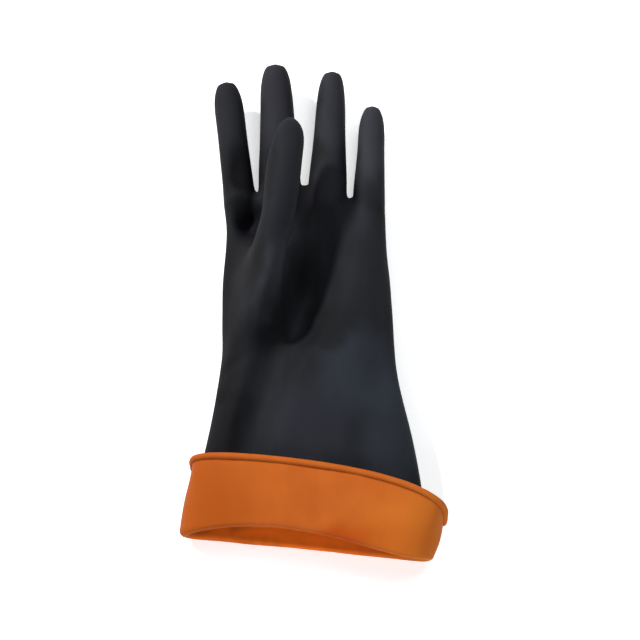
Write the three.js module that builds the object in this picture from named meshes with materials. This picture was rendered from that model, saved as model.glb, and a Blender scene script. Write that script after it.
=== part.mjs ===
// A heavy two-layer dipped rubber glove for the left hand, lying on its back with the palm up.
// The black outer layer and the orange inner layer run from the fingertips to the hem.
// The cuff is turned back over the gauntlet, so the orange layer shows on it, and its hem is a rolled bead.
// Sizes are in millimetres: +X runs across the palm to the little finger, +Y to the fingertips, +Z up.
import * as THREE from "three";
import { mergeVertices } from "three/addons/utils/BufferGeometryUtils.js";

const LAYER = 0.8; // thickness of each dipped layer
const LAYER_GAP = 0.3; // clearance between the two layers
const BEAD_RADIUS = 2.7; // of the rolled hem
const BEAD_PROUD = 2.5; // the bead's centre line stands this far out from the cuff's inner face
const BEAD_SIDES = 8;

// Each ring round the glove has the same columns: the left edge, the palm side from left to right,
// the right edge, and the back from right to left. A finger takes five columns on each side.
const FINGER_COLUMNS = 5;
const FINGER_COUNT = 4;
const SIDE_COLUMNS = FINGER_COLUMNS * FINGER_COUNT;
const RIGHT_EDGE = SIDE_COLUMNS + 1;
const COLUMNS = 2 * SIDE_COLUMNS + 2;
const PALM = (k) => 1 + k; // column of palm point k, counted from the left
const BACK = (k) => COLUMNS - 1 - k; // column of back point k, counted from the left

// Cross-sections of the outer face from the fold of the cuff to the roots of the fingers.
// left and right are the edges, edgeL and edgeR their heights, floor the lowest point and crown the highest.
// spread is how far the columns have moved from even spacing to the fingers' own, hump how far the surface
// has taken on the fingers' roundness, and turn how much of the fold's slant the section keeps.
const SECTIONS = [
  { y: 1.6, left: -86, right: 89.4, floor: 6.6, crown: 34, edgeL: 11, edgeR: 16, turn: 1 },
  { y: 30, left: -81, right: 88.4, floor: 7.4, crown: 37, edgeL: 13, edgeR: 18, turn: 0.7 },
  { y: 62, left: -76, right: 84, floor: 7.2, crown: 41, edgeL: 16, edgeR: 19, turn: 0.4 },
  { y: 92, left: -70.6, right: 77.8, floor: 3.2, crown: 43.5, edgeL: 18, edgeR: 20, turn: 0.15 },
  { y: 122, left: -66.2, right: 71, floor: 0, crown: 44, edgeL: 19, edgeR: 20 },
  { y: 146, left: -63.6, right: 68.2, floor: -1, crown: 43, edgeL: 19, edgeR: 20 },
  { y: 166, left: -63.8, right: 67.2, floor: -1, crown: 41.5, edgeL: 19, edgeR: 20 },
  { y: 186, left: -63.8, right: 66.2, floor: -1, crown: 40, edgeL: 19, edgeR: 19 },
  { y: 206, left: -63.6, right: 65, floor: -1, crown: 38.5, edgeL: 18, edgeR: 18 },
  { y: 226, left: -62.6, right: 63.2, floor: -1, crown: 36.5, edgeL: 17, edgeR: 17, spread: 0.2 },
  { y: 246, left: -62.2, right: 62.4, floor: -1, crown: 33.5, edgeL: 16, edgeR: 16, spread: 0.55, hump: 0.1 },
  { y: 260, left: -63.2, right: 62.2, floor: -0.6, crown: 31, edgeL: 15, edgeR: 15, spread: 0.85, hump: 0.35 },
  { y: 271, left: -64.4, right: 62, floor: 0, crown: 29.5, edgeL: 15, edgeR: 15, spread: 1, hump: 0.7 },
];
const PALM_FULLNESS = 2.3; // superellipse exponents of the palm side and the flatter back
const BACK_FULLNESS = 3.2;
const EDGE_CROWDING = 0.45; // the columns stand this much closer together at the edges than an even spacing
const FLOOR = 0; // the soft back of the hand spreads flat where it lies

// The fingers, from the index to the little one: the centre and half sizes at the root, then the tip and the
// half width where the tip's dome starts.
const FINGERS = [
  { name: "index", root: [-52.4, 279, 15], wide: 12.6, high: 12.8, tip: [-64.4, 374.5, 25], tipWide: 11.2 },
  { name: "middle", root: [-20.6, 284, 15], wide: 17.2, high: 13.6, tip: [-24.8, 390, 26], tipWide: 11.9 },
  { name: "ring", root: [16.8, 281, 15], wide: 15.7, high: 13.2, tip: [20.9, 384, 25], tipWide: 10.5 },
  { name: "little", root: [49.1, 273, 14.5], wide: 12.8, high: 12, tip: [53, 354.5, 23], tipWide: 9.9 },
];
const CROTCHES = [284.5, 289, 279]; // how far up the glove each web between two fingers lies
const WEB_ROLL = 5; // a web's palm and back edges lie this far below its middle
const EDGE_ROLL = 6; // the outer edges of the index and the little finger start this far below their roots
const ROOT_ARCH = 3; // a finger's root line runs this much further up in its middle
const DOME = 15; // length of a fingertip's dome
const FINGER_RINGS = [0.1, 0.3, 0.5, 0.7, 0.86, 0.955]; // shares of a finger's length
const FINGER_SAG = 3; // the fingers bow down by this much between root and tip

// The thumb rises from a patch of the palm and bends towards the fingertips. lean is its direction in degrees
// from straight up towards +Y, and swing its turn from there towards +X.
const THUMB_COLUMNS = [2, 7]; // palm points at the patch's sides
const THUMB_ROWS = [5, 9]; // sections at its ends
const THUMB = [
  { x: -32, y: 201, z: 46, lean: 24, swing: 20, wide: 17, high: 28 },
  { x: -27.4, y: 216.5, z: 53, lean: 48, swing: 20, wide: 15, high: 20 },
  { x: -24.2, y: 230.5, z: 57, lean: 66, swing: 16, wide: 12.8, high: 15.6 },
  { x: -20.4, y: 247, z: 60.5, lean: 77, swing: 10, wide: 12.8, high: 13.4 },
  { x: -17.9, y: 268.5, z: 62.5, lean: 84, swing: 7, wide: 13.2, high: 12.4 },
  { x: -15.6, y: 289, z: 63.5, lean: 88, swing: 7, wide: 12.8, high: 11.8 },
  { x: -12.8, y: 306, z: 64, lean: 90, swing: 6, wide: 11.5, high: 10.6 },
  { x: -11.6, y: 316.5, z: 64, lean: 91, swing: 5, wide: 8.3, high: 7.8 },
];
const THUMB_TIP = { x: -11.2, y: 323.8, z: 63.6 };
const ROOT_RELAXING = 10; // smoothing rounds where the thumb meets the palm

// Broad dents and swellings of the outer face: the centre, half lengths along and across, the angle of the long
// axis from +Y towards +X in degrees, and the rise, which is negative in a dent.
const RELIEF = [
  { name: "palm hollow", x: 3, y: 214, long: 38, across: 21, angle: 10, rise: -14 },
  { name: "trough below the thumb", x: -6, y: 172, long: 36, across: 18, angle: 32, rise: -14 },
  { name: "heel of the hand", x: 44, y: 190, long: 48, across: 16, angle: 8, rise: 2.5 },
  { name: "ball of the thumb", x: -28.5, y: 184, long: 30, across: 13, angle: 32, rise: 12 },
  { name: "dip at the wrist", x: -36, y: 140, long: 15, across: 18, angle: 0, rise: -4.5 },
  { name: "pit behind the thumb's web", x: -45, y: 255, long: 12.5, across: 10, angle: 0, rise: -16 },
  { name: "kink of the index", x: -54, y: 299, long: 14, across: 11, angle: 20, rise: -3.5 },
  { name: "valley beside the thumb", x: -32, y: 100, long: 46, across: 11, angle: 16, rise: -9 },
  { name: "ridge left of the valley", x: -54, y: 96, long: 38, across: 9, angle: 16, rise: 3 },
  { name: "gauntlet swelling", x: 26, y: 102, long: 38, across: 25, angle: -20, rise: 3 },
  { name: "gauntlet dent", x: 58, y: 126, long: 18, across: 11, angle: 0, rise: -2.5 },
];

// The cuff is turned back at a fold that slants across the glove, and its hem slants twice as much.
const FOLD_SLANT = -0.108; // fall of the fold line for each millimetre across
const FOLD_ARCH = 10; // its palm side is drawn up this much on the left
const FOLD_DROOP = 8; // and hangs this much lower at the right edge
const FOLD_RADII = { left: 2.4, palm: 2.2, right: 1.6, back: 1.1 }; // inner radius of the fold round the glove
const FOLD_STEPS = 4;
const HEM = {
  left: -81.8,
  right: 99.6,
  floor: BEAD_RADIUS + BEAD_PROUD + 0.2,
  crown: 45.5,
  edgeL: 16,
  edgeR: 19,
  fullness: 4.4,
};
const HEM_Y = { left: 54, right: 14 }; // at its edges
const HEM_AHEAD = { left: 9, right: 22 }; // how far its palm side runs ahead of them
const CUFF_RINGS = [0.22, 0.48, 0.74, 1]; // shares of the way from the fold to the hem
const CUFF_SWELL = 1.2; // the turned cuff bows out by this much between fold and hem

const vec = (x, y, z) => new THREE.Vector3(x, y, z);
const mix = THREE.MathUtils.lerp;
const radians = THREE.MathUtils.degToRad;
const power = (value, exponent) => Math.sign(value) * Math.abs(value) ** exponent;

// A net of quads, with shared points, that faces outwards.
class Net {
  constructor() {
    this.points = [];
    this.quads = [];
  }
  add(point) {
    this.points.push(point);
    return this.points.length - 1;
  }
  ring(points) {
    return points.map((point) => this.add(point));
  }
  band(from, to, leftOut = () => false) {
    from.forEach((corner, i) => {
      const next = (i + 1) % from.length;
      if (!leftOut(i)) this.quads.push([corner, from[next], to[next], to[i]]);
    });
  }
  // Closes a ring with a shallow dome: its first columns + 1 points from start face the last ones across the rows.
  cap(loop, start, columns, rows, tip) {
    const at = (i) => loop[(start + i + loop.length) % loop.length];
    const centre = vec(0, 0, 0);
    loop.forEach((i) => centre.addScaledVector(this.points[i], 1 / loop.length));
    const radius = loop.reduce((sum, i) => sum + this.points[i].distanceTo(centre) / loop.length, 0);
    const height = tip.clone().sub(centre);
    const across = (row) => {
      const leftSide = at(-row);
      const rightSide = at(columns + row);
      const share = row / rows;
      const inner = Array.from({ length: columns - 1 }, (_, i) => {
        const palmSide = this.points[at(i + 1)];
        const backSide = this.points[at(2 * columns + rows - i - 1)];
        const point = palmSide.clone().lerp(backSide, share);
        const off = Math.min(1, point.distanceTo(centre) / radius);
        return this.add(point.addScaledVector(height, 1 - off ** 2));
      });
      return [leftSide, ...inner, rightSide];
    };
    const grid = [Array.from({ length: columns + 1 }, (_, i) => at(i))];
    for (let row = 1; row < rows; row++) grid.push(across(row));
    grid.push(Array.from({ length: columns + 1 }, (_, i) => at(2 * columns + rows - i)));
    for (let row = 0; row < rows; row++)
      for (let i = 0; i < columns; i++)
        this.quads.push([grid[row][i], grid[row][i + 1], grid[row + 1][i + 1], grid[row + 1][i]]);
  }
  neighbours() {
    const sets = this.points.map(() => new Set());
    for (const quad of this.quads)
      quad.forEach((corner, i) => {
        sets[corner].add(quad[(i + 1) % 4]);
        sets[quad[(i + 1) % 4]].add(corner);
      });
    return sets;
  }
  relax(chosen, rounds) {
    const around = this.neighbours();
    for (let round = 0; round < rounds; round++) {
      const means = chosen.map((i) => {
        const sum = vec(0, 0, 0);
        around[i].forEach((j) => sum.add(this.points[j]));
        return sum.divideScalar(around[i].size);
      });
      chosen.forEach((i, n) => this.points[i].lerp(means[n], 0.5));
    }
  }
  normals() {
    const normals = this.points.map(() => vec(0, 0, 0));
    for (const [a, b, c, d] of this.quads) {
      const across = this.points[c].clone().sub(this.points[a]);
      const normal = across.cross(this.points[d].clone().sub(this.points[b])).normalize();
      [a, b, c, d].forEach((corner) => normals[corner].add(normal));
    }
    return normals.map((normal) => normal.normalize());
  }
}

const sideFullness = (section, palmSide) => (palmSide ? section.fullness ?? PALM_FULLNESS : BACK_FULLNESS);

// Height of a section's outline at share u of its half width, from -1 to 1.
function outlineHeight(section, u, palmSide) {
  const edge = mix(section.edgeL, section.edgeR, (u + 1) / 2);
  const far = palmSide ? section.crown : section.floor;
  const fullness = sideFullness(section, palmSide);
  const inside = Math.max(0, 1 - Math.abs(u) ** fullness);
  return mix(edge, far, inside ** (1 / fullness));
}

// Shares of the half width that space the columns along one side of a section.
function ownShares(section, palmSide) {
  const steps = 400;
  const halfWidth = (section.right - section.left) / 2;
  const fullness = sideFullness(section, palmSide);
  const shares = Array.from({ length: steps + 1 }, (_, i) =>
    power(-Math.cos((Math.PI * i) / steps), 2 / fullness),
  );
  const along = [0];
  for (let i = 1; i <= steps; i++) {
    const rise = outlineHeight(section, shares[i], palmSide) - outlineHeight(section, shares[i - 1], palmSide);
    along.push(along[i - 1] + Math.hypot((shares[i] - shares[i - 1]) * halfWidth, rise));
  }
  return Array.from({ length: SIDE_COLUMNS }, (_, k) => {
    const even = (k + 1) / (SIDE_COLUMNS + 1);
    const wanted = along[steps] * (even - (EDGE_CROWDING * Math.sin(2 * Math.PI * even)) / (2 * Math.PI));
    const i = along.findIndex((length) => length >= wanted);
    const part = (wanted - along[i - 1]) / (along[i] - along[i - 1]);
    return mix(shares[i - 1], shares[i], part);
  });
}

// A finger's section: its left edge, five palm points, its right edge and five back points.
function fingerRing(centre, wide, high, sideways, front) {
  return Array.from({ length: 2 * FINGER_COLUMNS + 2 }, (_, i) => {
    const angle = Math.PI - (i * Math.PI) / (FINGER_COLUMNS + 1);
    const point = centre.clone().addScaledVector(sideways, wide * Math.cos(angle));
    return point.addScaledVector(front, high * Math.sin(angle));
  });
}

const X_AXIS = vec(1, 0, 0);
const Z_AXIS = vec(0, 0, 1);

// The ring at the fingers' roots, with the points that lie in the webs left out.
function rootRing() {
  const ring = new Array(COLUMNS);
  FINGERS.forEach((finger, f) => {
    const oval = fingerRing(vec(...finger.root), finger.wide, finger.high, X_AXIS, Z_AXIS);
    const outerY = finger.root[1] - EDGE_ROLL;
    const leftY = f === 0 ? outerY : CROTCHES[f - 1] - WEB_ROLL;
    const rightY = f === FINGER_COUNT - 1 ? outerY : CROTCHES[f] - WEB_ROLL;
    for (let k = 0; k < FINGER_COLUMNS; k++) {
      const share = k / (FINGER_COLUMNS - 1);
      const y = mix(leftY, rightY, share) + ROOT_ARCH * Math.sin(Math.PI * share);
      ring[PALM(f * FINGER_COLUMNS + k)] = oval[1 + k].setY(y);
      ring[BACK(f * FINGER_COLUMNS + k)] = oval[oval.length - 1 - k].setY(y);
    }
    if (f === 0) ring[0] = oval[0].setY(leftY);
    if (f === FINGER_COUNT - 1) ring[RIGHT_EDGE] = oval[FINGER_COLUMNS + 1].setY(rightY);
  });
  return ring;
}

function sectionRing(section, root) {
  const { spread = 0, hump = 0, turn = 0 } = section;
  const halfWidth = (section.right - section.left) / 2;
  const centre = (section.right + section.left) / 2;
  const rootLeft = root[0].x;
  const rootHalf = (root[RIGHT_EDGE].x - rootLeft) / 2;
  const rootY = root.reduce((sum, point) => sum + point.y, 0) / COLUMNS;
  const point = (u, palmSide, column) => {
    const x = centre + u * halfWidth;
    const z = Math.max(FLOOR, mix(outlineHeight(section, u, palmSide), root[column].z, hump));
    return vec(x, section.y + FOLD_SLANT * turn * x + hump * (root[column].y - rootY), z);
  };
  const ring = new Array(COLUMNS);
  for (const [column, palmSide] of [[PALM, true], [BACK, false]]) {
    ownShares(section, palmSide).forEach((own, k) => {
      const fingers = (root[column(k)].x - rootLeft) / rootHalf - 1;
      ring[column(k)] = point(mix(own, fingers, spread), palmSide, column(k));
    });
  }
  ring[0] = point(-1, true, 0);
  ring[RIGHT_EDGE] = point(1, true, RIGHT_EDGE);
  return ring;
}

// Blends four values that belong to the left edge, the palm side, the right edge and the back of the glove.
function aroundGlove(values, column) {
  const angle = (column / COLUMNS) * 2 * Math.PI;
  const weights = {
    left: Math.max(0, Math.cos(angle)) ** 2,
    palm: Math.max(0, Math.sin(angle)) ** 2,
    right: Math.max(0, -Math.cos(angle)) ** 2,
    back: Math.max(0, -Math.sin(angle)) ** 2,
  };
  return Object.keys(weights).reduce((sum, side) => sum + weights[side] * values[side], 0);
}

// The direction straight out from a section's outline, at right angles to the glove's length.
function outwards(ring) {
  return ring.map((_, i) => {
    const before = ring[(i + COLUMNS - 1) % COLUMNS];
    const after = ring[(i + 1) % COLUMNS];
    return vec(before.z - after.z, 0, after.x - before.x).normalize();
  });
}

// How far a column is on the palm side: 1 in its middle, 0 at the edges and on the back.
function palmShare(column) {
  return Math.max(0, Math.sin((column / COLUMNS) * 2 * Math.PI));
}

// Rings of the turned cuff's inner face, from the hem to the fold, and then round the fold to the gauntlet.
function cuffRings(foldRing) {
  const out = outwards(foldRing);
  const radii = foldRing.map((_, i) => aroundGlove(FOLD_RADII, i));
  const turned = (angle) =>
    foldRing.map((point, i) => {
      const step = point.clone().addScaledVector(out[i], radii[i] * (1 - Math.cos(angle)));
      return step.add(vec(0, -radii[i] * Math.sin(angle), 0));
    });
  const hem = sectionRing({ ...HEM, y: 0 }, foldRing).map((point, i) => {
    const share = (point.x - HEM.left) / (HEM.right - HEM.left);
    const ahead = mix(HEM_AHEAD.left, HEM_AHEAD.right, share) * palmShare(i);
    return point.setY(mix(HEM_Y.left, HEM_Y.right, share) + ahead);
  });
  const foldEnd = turned(Math.PI);
  const swellAround = { left: 1, palm: 1, right: 1, back: 0 };
  const cuff = CUFF_RINGS.map((share) =>
    foldEnd.map((point, i) => {
      const swell = CUFF_SWELL * Math.sin(Math.PI * share) * aroundGlove(swellAround, i);
      return point.clone().lerp(hem[i], share).addScaledVector(out[i], swell);
    }),
  );
  const fold = Array.from({ length: FOLD_STEPS }, (_, i) => turned(Math.PI * (1 - i / FOLD_STEPS)));
  return [...cuff.reverse(), ...fold];
}

// The fold's palm side arches up on the left and droops to the right.
function bendFold(ring) {
  const width = ring[RIGHT_EDGE].x - ring[0].x;
  return ring.map((point, i) => {
    const cubed = ((point.x - ring[0].x) / width) ** 3;
    const palm = palmShare(i);
    const rise = FOLD_ARCH * palm ** 2 * (1 - cubed) - FOLD_DROOP * palm * cubed;
    return point.clone().add(vec(0, rise, 0));
  });
}

function fingerRings(finger) {
  const root = vec(...finger.root);
  const tip = vec(...finger.tip);
  const length = root.distanceTo(tip);
  const domeStart = 1 - DOME / length;
  const middle = root.clone().lerp(tip, 0.5).add(vec(0, 0, -2 * FINGER_SAG));
  const path = new THREE.QuadraticBezierCurve3(root, middle, tip);
  return FINGER_RINGS.map((share) => {
    const taper = Math.min(1, share / domeStart);
    const dome = share > domeStart ? Math.sqrt(1 - ((share - domeStart) / (1 - domeStart)) ** 2) : 1;
    const along = path.getTangent(share);
    const sideways = X_AXIS.clone().addScaledVector(along, -along.x).normalize();
    const front = sideways.clone().cross(along);
    const wide = mix(finger.wide, finger.tipWide, taper) * dome;
    const high = mix(finger.high, finger.tipWide * 0.96, taper) * dome;
    return fingerRing(path.getPoint(share), wide, high, sideways, front);
  });
}

function thumbRing(row, count, columns) {
  const lean = radians(row.lean);
  const swing = radians(row.swing);
  const along = vec(Math.sin(lean) * Math.sin(swing), Math.sin(lean) * Math.cos(swing), Math.cos(lean));
  const sideways = X_AXIS.clone().addScaledVector(along, -along.x).normalize();
  const front = sideways.clone().cross(along);
  const step = (2 * Math.PI) / count;
  return Array.from({ length: count }, (_, i) => {
    const angle = Math.PI / 2 + (columns / 2 - i) * step;
    const point = vec(row.x, row.y, row.z).addScaledVector(sideways, row.wide * Math.cos(angle));
    return point.addScaledVector(front, row.high * Math.sin(angle));
  });
}

function relief(point, normal) {
  return RELIEF.reduce((sum, { x, y, long, across, angle, rise }) => {
    const turn = radians(angle);
    const dx = point.x - x;
    const dy = point.y - y;
    const alongAxis = (dx * Math.sin(turn) + dy * Math.cos(turn)) / long;
    const acrossAxis = (dx * Math.cos(turn) - dy * Math.sin(turn)) / across;
    return sum + rise * Math.exp(-(alongAxis ** 2) - acrossAxis ** 2) * Math.max(0, normal.z);
  }, 0);
}

// The outer face of the black layer, from the hem of the turned cuff to the fingertips.
function gloveNet() {
  const net = new Net();
  const root = rootRing();
  const sections = SECTIONS.map((section) => sectionRing(section, root));
  sections[0] = bendFold(sections[0]);
  const hemToFold = cuffRings(sections[0]).map((ring) => net.ring(ring));
  const body = [...sections, root].map((ring) => net.ring(ring));
  const rings = [...hemToFold, ...body];

  const [firstColumn, lastColumn] = THUMB_COLUMNS.map(PALM);
  const inPatch = (i, row) =>
    row >= THUMB_ROWS[0] && row < THUMB_ROWS[1] && i >= firstColumn && i < lastColumn;
  for (let r = 0; r + 1 < rings.length; r++) {
    net.band(rings[r], rings[r + 1], (i) => inPatch(i, r - hemToFold.length));
  }

  const webs = CROTCHES.map((y, w) => {
    const [left, right] = [FINGERS[w], FINGERS[w + 1]];
    const leftMid = vec(left.root[0] + left.wide, y, left.root[2]);
    const rightMid = vec(right.root[0] - right.wide, y, right.root[2]);
    return [net.add(leftMid), net.add(rightMid)];
  });
  const roots = rings[rings.length - 1];
  webs.forEach(([leftMid, rightMid], w) => {
    const last = (w + 1) * FINGER_COLUMNS - 1;
    net.quads.push([roots[PALM(last)], roots[PALM(last + 1)], rightMid, leftMid]);
    net.quads.push([roots[BACK(last + 1)], roots[BACK(last)], leftMid, rightMid]);
  });
  FINGERS.forEach((finger, f) => {
    const own = Array.from({ length: FINGER_COLUMNS }, (_, k) => f * FINGER_COLUMNS + k);
    const leftMid = f === 0 ? roots[0] : webs[f - 1][1];
    const rightMid = f === FINGER_COUNT - 1 ? roots[RIGHT_EDGE] : webs[f][0];
    const palmSide = own.map((k) => roots[PALM(k)]);
    const backSide = own.map((k) => roots[BACK(k)]).reverse();
    let loop = [leftMid, ...palmSide, rightMid, ...backSide];
    for (const points of fingerRings(finger)) {
      const ring = net.ring(points);
      net.band(loop, ring);
      loop = ring;
    }
    net.cap(loop, 1, FINGER_COLUMNS - 1, 2, vec(...finger.tip));
  });

  const patchColumns = lastColumn - firstColumn;
  const patchRows = THUMB_ROWS[1] - THUMB_ROWS[0];
  const patchRings = body.slice(THUMB_ROWS[0], THUMB_ROWS[1] + 1);
  const patch = patchRings.map((ring) => ring.slice(firstColumn, lastColumn + 1));
  let loop = [
    ...patch[0],
    ...patch.slice(1, -1).map((row) => row[patchColumns]),
    ...patch[patchRows].slice().reverse(),
    ...patch.slice(1, -1).map((row) => row[0]).reverse(),
  ];
  const patchEdge = loop;
  const thumbRings = [];
  for (const row of THUMB) {
    const ring = net.ring(thumbRing(row, loop.length, patchColumns));
    net.band(loop, ring);
    thumbRings.push(ring);
    loop = ring;
  }
  net.cap(loop, 0, patchColumns, patchRows, vec(THUMB_TIP.x, THUMB_TIP.y, THUMB_TIP.z));
  const around = net.neighbours();
  const nearRoot = new Set([...patchEdge, ...thumbRings[0], ...thumbRings[1]]);
  patchEdge.forEach((i) => around[i].forEach((j) => nearRoot.add(j)));
  net.relax([...nearRoot], ROOT_RELAXING);

  const used = new Set(net.quads.flat());
  const normals = net.normals();
  net.points.forEach((point, i) => {
    if (used.has(i) && i >= hemToFold.length * COLUMNS) {
      point.addScaledVector(Z_AXIS, relief(point, normals[i]));
    }
  });
  return { net, hem: rings[0] };
}

// A closed solid between the faces that lie near and far millimetres inside the net.
function layerGeometry({ net, hem }, normals, near, far) {
  const face = (depth) => net.points.map((point, i) => point.clone().addScaledVector(normals[i], -depth));
  const positions = [...face(near), ...face(far)];
  const inner = net.points.length;
  const triangles = [];
  const add = (a, b, c, d) => triangles.push(a, b, c, a, c, d);
  for (const [a, b, c, d] of net.quads) {
    add(a, b, c, d);
    add(a + inner, d + inner, c + inner, b + inner);
  }
  hem.forEach((corner, i) => {
    const next = hem[(i + 1) % hem.length];
    add(next, corner, corner + inner, next + inner);
  });
  return geometry(positions, triangles);
}

function geometry(positions, triangles) {
  const corners = triangles.flatMap((i) => positions[i].toArray());
  const made = new THREE.BufferGeometry();
  made.setAttribute("position", new THREE.Float32BufferAttribute(corners, 3));
  const merged = mergeVertices(made);
  merged.computeVertexNormals();
  return merged;
}

// The rolled bead, a closed ring of round section just past the hem of both layers.
function beadGeometry({ net, hem }, normals) {
  const tangents = (points) =>
    points.map((_, i) => {
      const before = points[(i + points.length - 1) % points.length];
      return points[(i + 1) % points.length].clone().sub(before).normalize();
    });
  const edge = hem.map((corner) => net.points[corner]);
  const centres = tangents(edge).map((along, i) => {
    const pastHem = along.cross(normals[hem[i]]).normalize();
    const centre = edge[i].clone().addScaledVector(normals[hem[i]], -BEAD_PROUD);
    return centre.addScaledVector(pastHem, BEAD_RADIUS + LAYER_GAP);
  });
  const rings = tangents(centres).map((along, i) => {
    const out = normals[hem[i]].clone().negate();
    out.addScaledVector(along, -along.dot(out)).normalize();
    const side = along.clone().cross(out);
    return Array.from({ length: BEAD_SIDES }, (_, s) => {
      const angle = (2 * Math.PI * s) / BEAD_SIDES;
      const point = centres[i].clone().addScaledVector(out, BEAD_RADIUS * Math.cos(angle));
      return point.addScaledVector(side, BEAD_RADIUS * Math.sin(angle));
    });
  });
  const triangles = [];
  rings.forEach((_, i) => {
    const j = (i + 1) % COLUMNS;
    for (let s = 0; s < BEAD_SIDES; s++) {
      const t = (s + 1) % BEAD_SIDES;
      const [a, b, c, d] = [[i, s], [j, s], [j, t], [i, t]].map(([ring, side]) => ring * BEAD_SIDES + side);
      triangles.push(a, c, b, a, d, c);
    }
  });
  return geometry(rings.flat(), triangles);
}

function piece(name, shape, material) {
  const mesh = new THREE.Mesh(shape, material);
  mesh.name = name;
  return mesh;
}

const blackRubber = new THREE.MeshStandardMaterial({ color: 0x26272b, roughness: 0.55, metalness: 0 });
const orangeRubber = new THREE.MeshStandardMaterial({ color: 0xc06226, roughness: 0.6, metalness: 0 });

const outline = gloveNet();
const faceNormals = outline.net.normals();
const innerFace = LAYER + LAYER_GAP;
const glove = new THREE.Group();
glove.add(
  piece("outer_layer", layerGeometry(outline, faceNormals, 0, LAYER), blackRubber),
  piece("inner_layer", layerGeometry(outline, faceNormals, innerFace, innerFace + LAYER), orangeRubber),
  piece("rolled_bead", beadGeometry(outline, faceNormals), orangeRubber),
);
const box = new THREE.Box3().setFromObject(glove);
const centre = box.getCenter(vec(0, 0, 0));
glove.position.set(-centre.x, -centre.y, -box.min.z);

export default glove;
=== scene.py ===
"""Looks of a heavy two-layer dipped rubber glove for the left hand, lying palm up with its cuff turned back.

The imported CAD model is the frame. The glove's form is built again from the same sizes as a net of quads,
which is subdivided into smooth rubber skins: a black outer layer, an orange inner layer that shows on the
turned cuff and in the mouth, and a rolled bead along the hem. Sizes are in millimetres until a mesh is made
of them, in metres. GloveForm's places are measured from the fold. SurfaceMaker moves the net onto the CAD
model, and the creases, hollows and patches of colour have their places in the model's frame.
"""

import logging
import math
from collections.abc import Iterable
from dataclasses import dataclass
from enum import Enum

import bpy
import numpy as np
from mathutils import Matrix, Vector, noise

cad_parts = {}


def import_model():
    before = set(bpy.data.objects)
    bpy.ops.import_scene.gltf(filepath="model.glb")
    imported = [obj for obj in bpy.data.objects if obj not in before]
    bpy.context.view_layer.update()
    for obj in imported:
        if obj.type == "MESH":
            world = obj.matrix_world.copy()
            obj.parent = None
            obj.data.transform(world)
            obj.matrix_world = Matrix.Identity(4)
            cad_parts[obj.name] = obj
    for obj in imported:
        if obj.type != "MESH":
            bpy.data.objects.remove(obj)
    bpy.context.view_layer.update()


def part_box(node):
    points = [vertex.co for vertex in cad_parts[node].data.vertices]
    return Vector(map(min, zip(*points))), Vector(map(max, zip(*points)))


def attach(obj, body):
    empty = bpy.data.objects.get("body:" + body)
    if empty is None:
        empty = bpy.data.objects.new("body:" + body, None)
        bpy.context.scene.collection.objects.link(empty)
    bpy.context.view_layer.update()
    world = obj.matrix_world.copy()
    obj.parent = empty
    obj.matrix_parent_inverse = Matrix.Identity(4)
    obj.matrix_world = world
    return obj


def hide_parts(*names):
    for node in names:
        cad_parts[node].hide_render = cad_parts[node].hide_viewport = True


log = logging.getLogger("glove")

MILLIMETRE = 0.001
TINY = 1e-12
Span = tuple[float, float]
Point = tuple[float, float, float]
Array = np.ndarray
Colour = tuple[float, float, float, float]
Tree = bpy.types.NodeTree
Socket = bpy.types.NodeSocket


class Side(Enum):
    """The two sides of the lying glove: the palm side faces up."""

    PALM = "palm"
    BACK = "back"


# Finishes


def linear(hex_colour: str) -> Colour:
    """Turns an sRGB hex colour to linear light.

    Args:
        hex_colour: six hex digits, such as "c06226".

    Returns:
        Red, green, blue and an alpha of 1, from 0 to 1.
    """
    shares = [int(hex_colour[i : i + 2], 16) / 255 for i in (0, 2, 4)]
    red, green, blue = (s / 12.92 if s <= 0.04045 else ((s + 0.055) / 1.055) ** 2.4 for s in shares)
    return red, green, blue, 1.0


def add_node(tree: Tree, kind: str, inputs: dict | None = None, **settings: object) -> bpy.types.Node:
    """Adds a shader node with its settings, socket values and links.

    Args:
        tree: the material's node tree.
        kind: the node's type, such as "ShaderNodeBump".
        inputs: a value, or an output socket to link, for each input's name or number.
        settings: the node's own properties.

    Returns:
        The new node.
    """
    node = tree.nodes.new(kind)
    for name, value in settings.items():
        setattr(node, name, value)
    for socket, value in (inputs or {}).items():
        if isinstance(value, Socket):
            tree.links.new(value, node.inputs[socket])
        else:
            node.inputs[socket].default_value = value
    return node


def per_metre(size_mm: float) -> float:
    """The scale of a pattern in object coordinates whose features are this many millimetres wide."""
    return 1.0 / (size_mm * MILLIMETRE)


def soft_noise(tree: Tree, place: Socket, size_mm: float, detail: float = 2.0) -> bpy.types.Node:
    """Adds a noise whose features are this many millimetres wide."""
    inputs = {"Vector": place, "Scale": per_metre(size_mm), "Detail": detail}
    return add_node(tree, "ShaderNodeTexNoise", inputs)


def mapped(tree: Tree, value: Socket, span: Span, onto: Span = (0.0, 1.0), **settings: str) -> Socket:
    """Maps one span of values onto another.

    Args:
        tree: the material's node tree.
        value: the value to map.
        span: the two ends that it runs between.
        onto: what those ends become.
        settings: the node's own properties.

    Returns:
        The mapped value.
    """
    inputs = {"Value": value, "From Min": span[0], "From Max": span[1], "To Min": onto[0], "To Max": onto[1]}
    return add_node(tree, "ShaderNodeMapRange", inputs, **settings).outputs["Result"]


def overlaid(tree: Tree, share: Socket, under: Socket | Colour, over: Socket | Colour) -> Socket:
    """Lays one colour over another by a share."""
    return add_node(tree, "ShaderNodeMix", {"Factor": share, 6: under, 7: over}, data_type="RGBA").outputs[2]


def vector_maths(tree: Tree, operation: str, *values: Socket | Point) -> bpy.types.Node:
    """Adds arithmetic on vectors, each of them a socket or a constant."""
    return add_node(tree, "ShaderNodeVectorMath", dict(enumerate(values)), operation=operation)


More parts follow.
